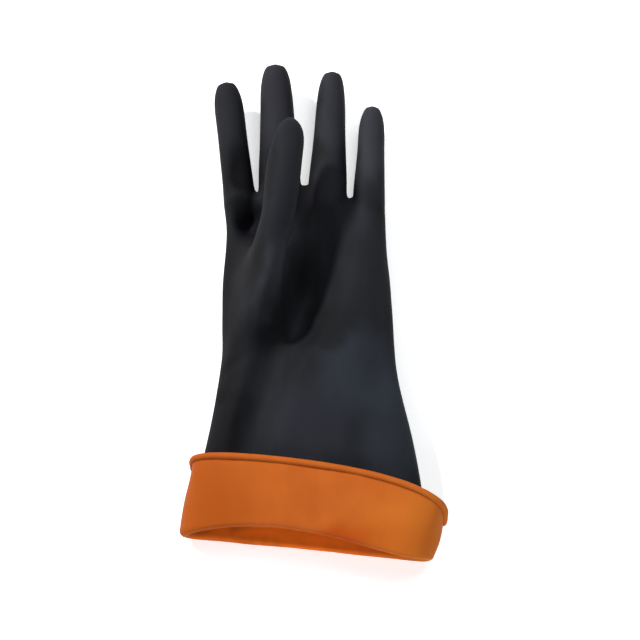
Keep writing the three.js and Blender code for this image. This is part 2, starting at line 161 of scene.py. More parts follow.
def bumped(tree: Tree, height: Socket, depth_mm: float, **under: Socket) -> Socket:
    """Tilts the normal over a height pattern of this depth; Normal takes an earlier bump."""
    inputs = {"Strength": 1.0, "Distance": depth_mm * MILLIMETRE, "Height": height, **under}
    return add_node(tree, "ShaderNodeBump", inputs).outputs["Normal"]


def bare_material(name: str) -> tuple[bpy.types.Material, Tree, Socket]:
    """Starts a material.

    Args:
        name: the material's name.

    Returns:
        The material, its node tree and the object coordinates in it.
    """
    made = bpy.data.materials.new(name)
    made.use_nodes = True
    tree = made.node_tree
    tree.nodes.clear()
    return made, tree, add_node(tree, "ShaderNodeTexCoord").outputs["Object"]


def add_surface(tree: Tree, sockets: dict) -> None:
    """Ends a material with a shader whose sockets take these values and links."""
    shader = add_node(tree, "ShaderNodeBsdfPrincipled", sockets)
    add_node(tree, "ShaderNodeOutputMaterial", {"Surface": shader.outputs["BSDF"]})


@dataclass(frozen=True)
class Drift:
    """A soft-edged patch of paler or deeper colour in the rubber, in millimetres.

    The patches stand for uneven bloom and thickness, and partly for light and shade that the plain studio
    lights don't give. angle turns the patch about Z, clockwise seen from above, in degrees. share is how far
    the colour goes over, and fade the shares of the radii between which the patch thins out.
    """

    name: str
    centre: Point
    radii: Point
    angle: float
    colour: str
    share: float
    fade: Span = (0.35, 1.15)

    def tint(self, tree: Tree, place: Socket, base: Socket) -> Socket:
        """Lays the patch over a colour.

        Args:
            tree: the material's node tree.
            place: the object coordinates.
            base: the colour so far.

        Returns:
            The colour with the patch on it.
        """
        centred = vector_maths(tree, "SUBTRACT", place, tuple(c * MILLIMETRE for c in self.centre)).outputs[0]
        inputs = {"Vector": centred, "Rotation": (0.0, 0.0, math.radians(self.angle))}
        turned = add_node(tree, "ShaderNodeMapping", inputs).outputs["Vector"]
        own = vector_maths(tree, "MULTIPLY", turned, tuple(per_metre(r) for r in self.radii)).outputs[0]
        away = vector_maths(tree, "LENGTH", own).outputs["Value"]
        cover = mapped(tree, away, self.fade, (self.share, 0.0), interpolation_type="SMOOTHERSTEP")
        return overlaid(tree, cover, base, linear(self.colour))


@dataclass(frozen=True)
class DippedRubber:
    """Natural rubber left on a former by dipping: flow runs, a faint bloom and the former's fine grain.

    cloud_span, dull_span and run_span are the noise values between which a pattern takes effect, and
    roughness is the least and the most.
    """

    name: str
    colour: str
    deep_colour: str
    bloom_colour: str
    bloom_share: float
    roughness: Span
    specular: float
    refraction: float = 1.52
    cloud_mm: float = 46.0
    cloud_detail: float = 3.0
    cloud_span: Span = (0.35, 0.68)
    dull_span: Span = (0.3, 0.7)
    run_mm: float = 9.0
    run_stretch: float = 5.0
    run_span: Span = (0.42, 0.75)
    grain_mm: float = 1.7
    grain_detail: float = 4.0
    grain_depth_mm: float = 0.05
    run_depth_mm: float = 0.18
    drifts: tuple[Drift, ...] = ()
    drift_edge_mm: float = 22.0
    drift_wander_mm: float = 14.0

    def material(self) -> bpy.types.Material:
        """Builds the procedural material.

        Returns:
            The material, with its colour, roughness and bump from nodes.
        """
        made, tree, place = bare_material(self.name)
        # Clouds: broad changes of shade where the dip was thicker or has been handled.
        clouds = soft_noise(tree, place, self.cloud_mm, self.cloud_detail).outputs["Fac"]
        # Runs: faint streaks along the glove, left by the wet rubber as it drained from the former.
        stretch = (1.0, 1.0 / self.run_stretch, 1.0)
        along = add_node(tree, "ShaderNodeMapping", {"Vector": place, "Scale": stretch}).outputs["Vector"]
        runs = soft_noise(tree, along, self.run_mm).outputs["Fac"]
        # Grain: the former's blasted skin, coarser here because a real grit of about 0.3 mm is too fine to
        # show.
        grain = soft_noise(tree, place, self.grain_mm, self.grain_detail).outputs["Fac"]
        deep = mapped(tree, clouds, self.cloud_span)
        colour = overlaid(tree, deep, linear(self.deep_colour), linear(self.colour))
        # Bloom: wax and dust that dull the rubber, most along the runs.
        bloom = mapped(tree, runs, self.run_span, (0.0, self.bloom_share))
        colour = overlaid(tree, bloom, colour, linear(self.bloom_colour))
        # Drifts: patches with uneven edges, so the places are pushed about by a soft noise first.
        wander = soft_noise(tree, place, self.drift_edge_mm).outputs["Color"]
        push = self.drift_wander_mm * MILLIMETRE
        pushed = vector_maths(tree, "MULTIPLY_ADD", wander, (push,) * 3, place).outputs[0]
        middle = vector_maths(tree, "SUBTRACT", pushed, (push / 2,) * 3).outputs[0]
        for patch in self.drifts:
            colour = patch.tint(tree, middle, colour)
        run_bump = bumped(tree, runs, self.run_depth_mm)
        sockets = {
            "Base Color": colour,
            "Roughness": mapped(tree, clouds, self.dull_span, self.roughness),
            "Normal": bumped(tree, grain, self.grain_depth_mm, Normal=run_bump),
            "IOR": self.refraction,
            "Specular IOR Level": self.specular,
        }
        add_surface(tree, sockets)
        return made


# Black natural rubber filled with carbon black and washed: deep and satin, with a cool grey sheen where it
# turns to the light and a faint dusty bloom along the fingers. Its patches add painted light on the fingers,
# the thumb, the heel and the gauntlet, and painted shade in the palm, round the thumb and down the left side.
BLACK_NATURAL_RUBBER = DippedRubber(
    name="black_natural_rubber_dipped",
    colour="17181b",
    deep_colour="121316",
    bloom_colour="1f2126",
    bloom_share=0.4,
    roughness=(0.68, 0.8),
    specular=0.09,
    drifts=(
        # Painted shade on the left side of the gauntlet.
        Drift("painted shade on the gauntlet's left side", (-82, -90, 20), (38, 130, 70), -6, "09080d", 0.95),
        # Painted shade on the left side of the hand.
        Drift("painted shade on the hand's left side", (-76, -4, 20), (30, 84, 70), 0, "08070c", 0.9),
        # Bloom and a painted sheen on the heel.
        Drift("bloom and painted sheen on the heel", (36, -62, 40), (38, 46, 60), 10, "2b3038", 0.55),
        # Bloom and painted light right of the gauntlet.
        Drift("bloom and painted light right of the gauntlet", (60, -104, 20), (34, 62, 60), 8, "2b3038", 0.55),
        # Bloom and painted light over the gauntlet.
        Drift("bloom and painted light over the gauntlet", (-4, -106, 40), (44, 46, 60), 0, "22252d", 0.5),
        # Bloom and painted light right of the palm.
        Drift("bloom and painted light right of the palm", (44, 30, 30), (26, 60, 60), 0, "202226", 0.4),
        # Bloom and painted light on the little finger's knuckle.
        Drift("bloom and painted light on the little finger's knuckle", (31, 68, 24), (17, 26, 40), 0, "28282f", 0.4),
        # Bloom and painted light on the little finger.
        Drift("bloom and painted light on the little finger", (45, 144, 20), (18, 60, 60), 0, "34343a", 0.72),
        # Bloom and painted light on the ring finger.
        Drift("bloom and painted light on the ring finger", (15, 162, 24), (16, 52, 60), 0, "2d2d34", 0.72),
        # Bloom and painted light on the middle finger.
        Drift("bloom and painted light on the middle finger", (-31, 169, 24), (17, 53, 60), 0, "2c2b33", 0.7),
        # Bloom and painted light on the index.
        Drift("bloom and painted light on the index", (-70, 160, 22), (16, 38, 60), 0, "232328", 0.6),
        # Bloom and painted light on the thumb.
        Drift("bloom and painted light on the thumb", (-22, 66, 72), (20, 92, 34), 4, "24252b", 0.5),
        # Painted shade on the thumb's outer side.
        Drift("painted shade on the thumb's outer side", (-34, 100, 62), (10, 66, 26), 4, "0c0c10", 0.5),
        # Painted light down the shaded side of the ball of the thumb.
        Drift("painted light down the ball of the thumb", (-31, 14, 44), (11, 52, 34), 15, "2c2c33", 0.85),
        # Painted shade in the palm's hollow.
        Drift("painted shade in the palm", (-9, 26, 10), (21, 38, 24), 4, "010103", 1.0),
        # Painted shade beside the thumb.
        Drift("painted shade beside the thumb", (-10, 84, 16), (15, 34, 26), 0, "060509", 0.85),
        # Painted shade below the thumb.
        Drift("painted shade below the thumb", (-36, -36, 24), (22, 18, 34), 0, "08070c", 0.5),
        # Painted shade in the pit behind the thumb's web.
        Drift("painted shade behind the thumb's web", (-42, 66, 14), (20, 21, 25), 0, "0e0d15", 0.8),
        # Painted shade below the pit.
        Drift("painted shade below the pit", (-48, 28, 42), (17, 44, 40), 0, "0b0b0e", 0.9),
        # Painted light at the ring finger's root.
        Drift("painted light at the ring finger's root", (11, 99, 20), (15, 26, 40), 0, "25252b", 0.6),
        # Painted light at the end of the palm's hollow.
        Drift("painted light at the end of the palm's hollow", (-8, -24, 16), (17, 14, 30), 0, "222327", 0.5),
        # Painted shade below the palm's hollow.
        Drift("painted shade below the hollow", (9, -26, 34), (24, 28, 30), -20, "0d0e11", 0.7),
        # Bloom and painted light at the middle finger's root.
        Drift("bloom and painted light at the middle finger's root", (-38, 98, 28), (11, 26, 24), 0, "2c2c32", 0.25),
        # Painted shade at the index's root.
        Drift("painted shade at the index's root", (-55, 110, 18), (19, 30, 40), 0, "030206", 0.9),
    ),
)

# Orange natural rubber, the unfilled inside dip: warm and nearly matt, a little paler where it is stretched
# thin and deeper where the dip is thick. Its patches add painted light on the cuff's right end and in the
# mouth, and painted shade on the cuff's left end, towards the fold and under it.
ORANGE_NATURAL_RUBBER = DippedRubber(
    name="orange_natural_rubber_dipped",
    colour="ac571c",
    deep_colour="a24e18",
    bloom_colour="b4612a",
    bloom_share=0.16,
    roughness=(0.6, 0.72),
    specular=0.06,
    cloud_mm=30.0,
    run_depth_mm=0.05,
    grain_depth_mm=0.04,
    drifts=(
        # Painted shade on the cuff's left end.
        Drift("painted shade on the cuff's left end", (-92, -168, 30), (64, 60, 60), 0, "94440f", 0.85),
        # Painted shade darkening towards the fold.
        Drift("painted shade towards the fold", (0, -199, 40), (150, 19, 30), -6, "9c3c06", 0.85),
        # Painted light on the cuff's right end.
        Drift("painted light on the cuff's right end", (84, -186, 24), (60, 50, 60), 0, "bd6a24", 0.6),
        # Painted light inside the mouth.
        Drift("painted light in the mouth", (0, -176, 0), (128, 34, 18), -4, "fb761f", 1.0),
        # Painted shade under the fold.
        Drift("painted shade under the fold", (-40, -186, 0), (92, 12, 10), 6, "8e4414", 0.7),
    ),
)


@dataclass(frozen=True)
class PalePaper:
    """Matt white backdrop paper, with a soft change of tone across it and a glow that keeps it pale."""

    name: str = "white_backdrop_paper"
    colour: str = "f1f1f1"
    shade: str = "ececec"
    cloud_mm: float = 400.0
    roughness: float = 0.9
    glow: float = 0.52

    def material(self) -> bpy.types.Material:
        """Builds the paper's material.

        Returns:
            The material.
        """
        made, tree, place = bare_material(self.name)
        clouds = soft_noise(tree, place, self.cloud_mm).outputs["Fac"]
        sockets = {
            "Base Color": overlaid(tree, clouds, linear(self.shade), linear(self.colour)),
            "Roughness": self.roughness,
            "Emission Color": (1.0, 1.0, 1.0, 1.0),
            "Emission Strength": self.glow,
        }
        add_surface(tree, sockets)
        return made


# The glove's form


@dataclass(frozen=True)
class Section:
    """A cross-section of the glove's outer face.

    The edges have their own heights, floor is the lowest point and crown the highest. spread is how far the
    columns have moved from even spacing to the fingers' own, hump how far the surface has taken on the
    fingers' roundness, and turn how much of the fold's slant the section keeps.
    """

    y: float
    left: float
    right: float
    floor: float
    crown: float
    edge_left: float
    edge_right: float
    spread: float = 0.0
    hump: float = 0.0
    turn: float = 0.0
    palm_fullness: float = 2.3
    back_fullness: float = 3.2

    def fullness(self, side: Side) -> float:
        """The superellipse exponent of one side."""
        return self.palm_fullness if side is Side.PALM else self.back_fullness

    def height(self, share: Array | float, side: Side) -> Array | float:
        """Height of the outline.

        Args:
            share: place across the section, from -1 at the left edge to 1 at the right.
            side: the palm's side or the back's.

        Returns:
            The height at each share.
        """
        edge = self.edge_left + (self.edge_right - self.edge_left) * (share + 1) / 2
        far = self.crown if side is Side.PALM else self.floor
        exponent = self.fullness(side)
        inside = np.maximum(0.0, 1 - np.abs(share) ** exponent) ** (1 / exponent)
        return edge + (far - edge) * inside


@dataclass(frozen=True)
class Finger:
    """A finger: centre and half sizes at its root, its tip, and its half width where the dome starts."""

    name: str
    root: Point
    wide: float
    high: float
    tip: Point
    tip_wide: float


@dataclass(frozen=True)
class ThumbRing:
    """A ring round the thumb. lean is from straight up to +Y, and swing from there to +X, in degrees."""

    x: float
    y: float
    z: float
    lean: float
    swing: float
    wide: float
    high: float


@dataclass(frozen=True)
class Oval:
    """An oval in the glove's plan: centre, half lengths, and the long axis from +Y to +X, in degrees."""

    name: str
    x: float
    y: float
    long: float
    across: float
    angle: float

    def shares(self, points: Array) -> tuple[Array, Array]:
        """Places in the oval.

        Args:
            points: one row for each point.

        Returns:
            How far each point is along the long axis and across it, in shares of the half lengths.
        """
        turn = math.radians(self.angle)
        dx, dy = points[:, 0] - self.x, points[:, 1] - self.y
        along = (dx * math.sin(turn) + dy * math.cos(turn)) / self.long
        across = (dx * math.cos(turn) - dy * math.sin(turn)) / self.across
        return along, across


@dataclass(frozen=True)
class Dent(Oval):
    """A broad dent or swelling, and its rise in the middle."""

    rise: float


class QuadNet:
    """A net of quads with shared points that faces outwards."""

    def __init__(self) -> None:
        """Starts an empty net."""
        self.points: list[Array] = []
        self.quads: list[tuple[int, int, int, int]] = []

    def add(self, point: Array) -> int:
        """Adds a point and returns its number."""
        self.points.append(np.asarray(point, float))
        return len(self.points) - 1

    def ring(self, points: list[Array]) -> list[int]:
        """Adds the points of a ring and returns their numbers."""
        return [self.add(point) for point in points]

    def band(self, start: list[int], end: list[int], left_out: set[int] | None = None) -> None:
        """Joins two rings with quads.

        Args:
            start: the first ring.
            end: the ring after it.
            left_out: columns that get no quad.
        """
        for i, corner in enumerate(start):
            after = (i + 1) % len(start)
            if not left_out or i not in left_out:
                self.quads.append((corner, start[after], end[after], end[i]))

    def cap(self, loop: list[int], start: int, columns: int, rows: int, tip: Array) -> None:
        """Closes a ring with a grid of quads, as a shallow dome.

        Args:
            loop: the ring.
            start: the grid's first corner in it.
            columns: quads across the grid.
            rows: quads down it.
            tip: the dome's highest point.
        """
        centre = np.mean([self.points[i] for i in loop], axis=0)
        radius = np.mean([np.linalg.norm(self.points[i] - centre) for i in loop])

        def at(i: int) -> int:
            return loop[(start + i) % len(loop)]

        grid = [[at(i) for i in range(columns + 1)]]
        for row in range(1, rows):
            inner = []
            for i in range(1, columns):
                near, far = self.points[at(i)], self.points[at(2 * columns + rows - i)]
                place = near + (far - near) * row / rows
                off = min(1.0, float(np.linalg.norm(place - centre) / radius))
                inner.append(self.add(place + (tip - centre) * (1 - off**2)))
            grid.append([at(-row), *inner, at(columns + row)])
        grid.append([at(2 * columns + rows - i) for i in range(columns + 1)])
        for upper, lower in zip(grid, grid[1:]):
            for i in range(columns):
                self.quads.append((upper[i], upper[i + 1], lower[i + 1], lower[i]))

    def neighbours(self) -> list[set[int]]:
        """The points that share an edge with each point."""
        around: list[set[int]] = [set() for _ in self.points]
        for quad in self.quads:
            for i, corner in enumerate(quad):
                after = quad[(i + 1) % 4]
                around[corner].add(after)
                around[after].add(corner)
        return around

    def relax(self, chosen: list[int], rounds: int) -> None:
        """Moves the chosen points halfway to the mean of their neighbours, several times."""
        around = self.neighbours()
        for _ in range(rounds):
            means = [np.mean([self.points[j] for j in sorted(around[i])], axis=0) for i in chosen]
            for i, mean in zip(chosen, means):
                self.points[i] = (self.points[i] + mean) / 2


def add_object(name: str, data: bpy.types.ID) -> bpy.types.Object:
    """Makes an object of a mesh, a light or a camera, and links it to the scene."""
    made = bpy.data.objects.new(name, data)
    bpy.context.scene.collection.objects.link(made)
    return made


def new_mesh(name: str, points: Array, quads: Array) -> bpy.types.Mesh:
    """Makes a mesh of quads, in the unit of its points."""
    mesh = bpy.data.meshes.new(name)
    mesh.from_pydata(points.tolist(), [], quads.tolist())
    return mesh


def mixed(start: float, end: float, share: float) -> float:
    """The value at a share of the way from start to end."""
    return start + (end - start) * share


def unit(vectors: Array) -> Array:
    """A vector, or each row of vectors, at a length of 1."""
    return vectors / np.maximum(np.linalg.norm(vectors, axis=-1, keepdims=True), TINY)


def face_normals(points: Array, quads: Array) -> Array:
    """Unit normals at the points of a net of quads.

    Args:
        points: one row for each point.
        quads: one row of four corners for each quad.

    Returns:
        One unit vector for each point.
    """
    a, b, c, d = (points[quads[:, i]] for i in range(4))
    normals = unit(np.cross(c - a, d - b))
    total = np.zeros_like(points)
    for i in range(4):
        np.add.at(total, quads[:, i], normals)
    return unit(total)


X_AXIS = np.array((1.0, 0.0, 0.0))
Y_AXIS = np.array((0.0, 1.0, 0.0))
OUTLINE_SAMPLES = 401


def oval_ring(centre: Array, wide: float, high: float, along: Array, angles: list[float]) -> list[Array]:
    """An oval that stands across a direction.

    Args:
        centre: its middle.
        wide: half its width.
        high: half its height.
        along: the unit vector that it stands across.
        angles: where its points lie, from the right edge towards the palm side.

    Returns:
        A point for each angle.
    """
    across = unit(X_AXIS - along * along[0])
    front = np.cross(across, along)
    return [centre + across * wide * math.cos(a) + front * high * math.sin(a) for a in angles]


@dataclass(frozen=True)
class GloveForm:
    """The glove's sizes, and the net of its outer face from the hem of the turned cuff to the fingertips."""

    layer: float = 0.8
    layer_gap: float = 0.3
    bead_radius: float = 2.35
    bead_proud: float = 2.2
    finger_columns: int = 5
    sections: tuple[Section, ...] = (
        Section(1.6, -86, 89.4, 6.6, 34, 11, 16, turn=1),
        Section(30, -81, 88.4, 7.4, 37, 13, 18, turn=0.7),
        Section(62, -76, 84, 7.2, 41, 16, 19, turn=0.4),
        Section(92, -70.6, 77.8, 3.2, 43.5, 18, 20, turn=0.15),
        Section(122, -66.2, 71, 0, 44, 19, 20),
        Section(146, -63.6, 68.2, -1, 43, 19, 20),
        Section(166, -63.8, 67.2, -1, 41.5, 19, 20),
        Section(186, -63.8, 66.2, -1, 40, 19, 19),
        Section(206, -63.6, 65, -1, 38.5, 18, 18),
        Section(226, -62.6, 63.2, -1, 36.5, 17, 17, spread=0.2),
        Section(246, -62.2, 62.4, -1, 33.5, 16, 16, spread=0.55, hump=0.1),
        Section(260, -63.2, 62.2, -0.6, 31, 15, 15, spread=0.85, hump=0.35),
        Section(271, -64.4, 62, 0, 29.5, 15, 15, spread=1, hump=0.7),
    )
    edge_crowding: float = 0.45
    floor: float = 0.0
    fingers: tuple[Finger, ...] = (
        Finger("index", (-52.4, 279, 15), 12.6, 12.8, (-64.4, 374.5, 25), 11.2),
        Finger("middle", (-20.6, 284, 15), 17.2, 13.6, (-24.8, 390, 26), 11.9),
        Finger("ring", (16.8, 281, 15), 15.7, 13.2, (20.9, 384, 25), 10.5),
        Finger("little", (49.1, 273, 14.5), 12.8, 12, (53, 354.5, 23), 9.9),
    )
    crotches: tuple[float, ...] = (284.5, 289, 279)
    web_roll: float = 5.0
    edge_roll: float = 6.0
    root_arch: float = 3.0
    dome: float = 15.0
    finger_rings: tuple[float, ...] = (0.12, 0.34, 0.58, 0.82, 0.955)
    finger_sag: float = 3.0
    tip_flatness: float = 0.96
    thumb_columns: tuple[int, int] = (2, 7)
    thumb_rows: tuple[int, int] = (5, 9)
    thumb: tuple[ThumbRing, ...] = (
        ThumbRing(-32, 201, 46, 24, 20, 17, 28),
        ThumbRing(-27.4, 216.5, 53, 48, 20, 15, 20),
        ThumbRing(-24.2, 230.5, 57, 66, 16, 12.8, 15.6),
        ThumbRing(-20.4, 247, 60.5, 77, 10, 12.8, 13.4),
        ThumbRing(-17.9, 268.5, 62.5, 84, 7, 13.2, 12.4),
        ThumbRing(-15.6, 289, 63.5, 88, 7, 12.8, 11.8),
        ThumbRing(-12.8, 306, 64, 90, 6, 11.5, 10.6),
        ThumbRing(-11.6, 316.5, 64, 91, 5, 8.3, 7.8),
    )
    thumb_tip: Point = (-11.2, 323.8, 63.6)
    root_relaxing: int = 10
    dents: tuple[Dent, ...] = (
        Dent("palm hollow", 3, 214, 38, 21, 10, -14),
        Dent("trough below the thumb", -6, 172, 36, 18, 32, -14),
        Dent("heel of the hand", 44, 190, 48, 16, 8, 2.5),
        Dent("ball of the thumb", -28.5, 184, 30, 13, 32, 12),
        Dent("dip at the wrist", -36, 140, 15, 18, 0, -4.5),
        Dent("pit behind the thumb's web", -45, 255, 12.5, 10, 0, -16),
        Dent("kink of the index", -54, 299, 14, 11, 20, -3.5),
        Dent("valley beside the thumb", -32, 100, 46, 11, 16, -9),
        Dent("ridge left of the valley", -54, 96, 38, 9, 16, 3),
        Dent("gauntlet swelling", 26, 102, 38, 25, -20, 3),
        Dent("gauntlet dent", 58, 126, 18, 11, 0, -2.5),
    )
    fold_slant: float = -0.108
    fold_arch: float = 10.0
    fold_droop: float = 8.0
    fold_radii: tuple[float, float, float, float] = (2.4, 2.2, 1.6, 1.1)
    fold_steps: int = 4
    fold_grading: tuple[float, ...] = (0.05, 0.15, 0.4)
    hem_section: Section = Section(0, -81.8, 99.6, 5.4, 45.5, 16, 19, palm_fullness=4.4)
    hem_left_y: float = 54.0
    hem_right_y: float = 14.0
    hem_palm_rise: Span = (9.0, 22.0)
    cuff_rings: tuple[float, ...] = (0.045, 0.12, 0.24, 0.52, 0.84, 1.0)
    cuff_swell: float = 1.2
    cuff_swells_at: tuple[float, float, float, float] = (1, 1, 1, 0)

    @property
    def side_columns(self) -> int:
        """Columns on the palm side, and as many on the back."""
        return self.finger_columns * len(self.fingers)

    @property
    def columns(self) -> int:
        """Columns in a ring round the glove."""
        return 2 * self.side_columns + 2

    @property
    def right_edge(self) -> int:
        """The right edge's column; the left edge's is 0."""
        return self.side_columns + 1

    def column(self, side: Side, k: int) -> int:
        """The column of a side's point k, counted from the left."""
        return 1 + k if side is Side.PALM else self.columns - 1 - k

    def side_points(self, ring: list[int], side: Side, places: Iterable[int]) -> list[int]:
        """The numbers of a side's points in a ring, for places counted from the left."""
        return [ring[self.column(side, k)] for k in places]

    def own_shares(self, section: Section, side: Side) -> Array:
        """Places across a section that space the columns along its outline, closer at the edges.

        Args:
            section: the cross-section.
            side: the palm's side or the back's.

        Returns:
            Shares of the half width, from -1 to 1.
        """
        turn = -np.cos(np.linspace(0, math.pi, OUTLINE_SAMPLES))
        shares = np.sign(turn) * np.abs(turn) ** (2 / section.fullness(side))
        heights = section.height(shares, side)
        steps = np.hypot(np.diff(shares) * (section.right - section.left) / 2, np.diff(heights))
        along = np.concatenate(([0.0], np.cumsum(steps)))
        even = np.arange(1, self.side_columns + 1) / (self.side_columns + 1)
        crowded = even - self.edge_crowding * np.sin(2 * math.pi * even) / (2 * math.pi)
        return np.interp(along[-1] * crowded, along, shares)

    @property
    def finger_angles(self) -> list[float]:
        """Where a finger's points lie round it: its left edge, palm side, right edge and back."""
        count = 2 * self.finger_columns + 2
        return [math.pi - i * math.pi / (self.finger_columns + 1) for i in range(count)]

    def root_ring(self) -> list[Array]:
        """The ring at the fingers' roots, without the points that lie in the webs."""
        ring: list[Array] = [np.zeros(3)] * self.columns
        last = len(self.fingers) - 1
        for f, finger in enumerate(self.fingers):
            oval = oval_ring(np.array(finger.root), finger.wide, finger.high, Y_AXIS, self.finger_angles)
            outer_y = finger.root[1] - self.edge_roll
            left_y = outer_y if f == 0 else self.crotches[f - 1] - self.web_roll
            right_y = outer_y if f == last else self.crotches[f] - self.web_roll
            for k in range(self.finger_columns):
                share = k / (self.finger_columns - 1)
                y = mixed(left_y, right_y, share) + self.root_arch * math.sin(math.pi * share)
                for side, point in ((Side.PALM, oval[1 + k]), (Side.BACK, oval[-1 - k])):
                    at = self.column(side, f * self.finger_columns + k)
                    ring[at] = np.array((point[0], y, point[2]))
            if f == 0:
                ring[0] = np.array((oval[0][0], left_y, oval[0][2]))
            if f == last:
                edge = oval[self.finger_columns + 1]
                ring[self.right_edge] = np.array((edge[0], right_y, edge[2]))
        return ring

    def section_ring(self, section: Section, root: list[Array]) -> list[Array]:
        """The points of one cross-section.

        Args:
            section: the cross-section.
            root: the ring at the fingers' roots.

        Returns:
            The points in the order of the columns.
        """
        half = (section.right - section.left) / 2
        centre = (section.right + section.left) / 2
        root_left = root[0][0]
        root_half = (root[self.right_edge][0] - root_left) / 2
        root_y = sum(point[1] for point in root) / self.columns

        def place(share: float, side: Side, column: int) -> Array:
            x = centre + share * half
            height = mixed(float(section.height(share, side)), root[column][2], section.hump)
            y = section.y + self.fold_slant * section.turn * x
            return np.array((x, y + section.hump * (root[column][1] - root_y), max(self.floor, height)))

        ring: list[Array] = [np.zeros(3)] * self.columns
        for side in Side:
            for k, own in enumerate(self.own_shares(section, side)):
                at = self.column(side, k)
                fingers = (root[at][0] - root_left) / root_half - 1
                ring[at] = place(mixed(own, fingers, section.spread), side, at)
        ring[0] = place(-1.0, Side.PALM, 0)
        ring[self.right_edge] = place(1.0, Side.PALM, self.right_edge)
        return ring

    def around(self, values: tuple[float, float, float, float], column: int) -> float:
        """Blends the values of the left edge, palm side, right edge and back at a column."""
        angle = column / self.columns * 2 * math.pi
        turns = (math.cos(angle), math.sin(angle), -math.cos(angle), -math.sin(angle))
        return sum(max(0.0, turn) ** 2 * value for turn, value in zip(turns, values))

    def palm_share(self, column: int) -> float:
        """How far a column is on the palm side: 1 in its middle, 0 at the edges and on the back."""
        return max(0.0, math.sin(column / self.columns * 2 * math.pi))

    def fold_ring(self, ring: list[Array]) -> list[Array]:
        """The fold's own ring: its palm side arches up on the left and droops to the right.

        Args:
            ring: the cross-section where the gauntlet ends.

        Returns:
            The fold's points, in the order of the columns.
        """
        left, width = ring[0][0], ring[self.right_edge][0] - ring[0][0]
        moved = []
        for i, point in enumerate(ring):
            cubed, palm = ((point[0] - left) / width) ** 3, self.palm_share(i)
            rise = self.fold_arch * palm**2 * (1 - cubed) - self.fold_droop * palm * cubed
            moved.append(point + np.array((0.0, rise, 0.0)))
        return moved

    def turned_cuff(self, fold: list[Array]) -> list[list[Array]]:
        """Rings of the turned cuff's inner face, from the hem to the fold and round it.

        Args:
            fold: the ring where the gauntlet ends.

        Returns:
            The rings from the hem onwards.
        """
        count = self.columns
        out = []
        for i in range(count):
            before, after = fold[i - 1], fold[(i + 1) % count]
            out.append(unit(np.array((before[2] - after[2], 0.0, after[0] - before[0]))))
        radii = [self.around(self.fold_radii, i) for i in range(count)]

        def turned(angle: float) -> list[Array]:
            ring = []
            for point, away, radius in zip(fold, out, radii):
                past = np.array((0, radius * math.sin(angle), 0))
                ring.append(point + away * radius * (1 - math.cos(angle)) - past)
            return ring

        hem = []
        for i, point in enumerate(self.section_ring(self.hem_section, fold)):
            share = (point[0] - self.hem_section.left) / (self.hem_section.right - self.hem_section.left)
            rise = mixed(*self.hem_palm_rise, share) * self.palm_share(i)
            hem.append(np.array((point[0], mixed(self.hem_left_y, self.hem_right_y, share) + rise, point[2])))
        end = turned(math.pi)
        cuff = []
        for share in self.cuff_rings:
            bow = self.cuff_swell * math.sin(math.pi * share)
            ring = []
            for i, (near, far, away) in enumerate(zip(end, hem, out)):
                ring.append(near + (far - near) * share + away * bow * self.around(self.cuff_swells_at, i))
            cuff.append(ring)
        round_fold = [turned(math.pi * (1 - i / self.fold_steps)) for i in range(self.fold_steps)]
        return cuff[::-1] + round_fold

    def finger_loops(self, finger: Finger) -> list[list[Array]]:
        """The rings along a finger, from past its root to the dome of its tip."""
        root, tip = np.array(finger.root), np.array(finger.tip)
        dome_start = 1 - self.dome / float(np.linalg.norm(tip - root))
        middle = (root + tip) / 2 - np.array((0, 0, 2 * self.finger_sag))
        loops = []
        for share in self.finger_rings:
            centre = (1 - share) ** 2 * root + 2 * share * (1 - share) * middle + share**2 * tip
            along = unit((1 - share) * (middle - root) + share * (tip - middle))
            past = max(0.0, (share - dome_start) / (1 - dome_start))
            round_off = math.sqrt(1 - past**2)
            taper = min(1.0, share / dome_start)
            wide = mixed(finger.wide, finger.tip_wide, taper) * round_off
            high = mixed(finger.high, finger.tip_wide * self.tip_flatness, taper) * round_off
            loops.append(oval_ring(centre, wide, high, along, self.finger_angles))
        return loops

    def thumb_loop(self, row: ThumbRing, count: int, columns: int) -> list[Array]:
        """A ring round the thumb with one point for each corner of its patch."""
        lean, swing = math.radians(row.lean), math.radians(row.swing)
        along = np.array((math.sin(lean) * math.sin(swing), math.sin(lean) * math.cos(swing), math.cos(lean)))
        angles = [math.pi / 2 + (columns / 2 - i) * 2 * math.pi / count for i in range(count)]
        return oval_ring(np.array((row.x, row.y, row.z)), row.wide, row.high, along, angles)

    def relief(self, points: Array, normals: Array) -> Array:
        """The rise of the broad dents and swellings at each point."""
        total = np.zeros(len(points))
        for dent in self.dents:
            along, across = dent.shares(points)
            total += dent.rise * np.exp(-(along**2) - across**2)
        return total * np.maximum(0.0, normals[:, 2])

    def net(self) -> tuple[QuadNet, list[int]]:
        """Builds the net of the outer face.

        Returns:
            The net and the numbers of its hem's points.
        """
        net = QuadNet()
        root = self.root_ring()
        sections = [self.section_ring(section, root) for section in self.sections]
        sections[0] = self.fold_ring(sections[0])
        graded = [
            [near + (far - near) * share for near, far in zip(*sections[:2])] for share in self.fold_grading
        ]
        cuff = [net.ring(ring) for ring in self.turned_cuff(sections[0])]
        body = [net.ring(ring) for ring in [sections[0], *graded, *sections[1:], root]]
        rings = cuff + body
        first, last = (self.column(Side.PALM, k) for k in self.thumb_columns)
        low, high = (row + len(graded) for row in self.thumb_rows)
        for r in range(len(rings) - 1):
            patch = set(range(first, last)) if low <= r - len(cuff) < high else set()
            net.band(rings[r], rings[r + 1], patch)
        self.add_fingers(net, rings[-1])
        self.add_thumb(net, body[low : high + 1], first, last)

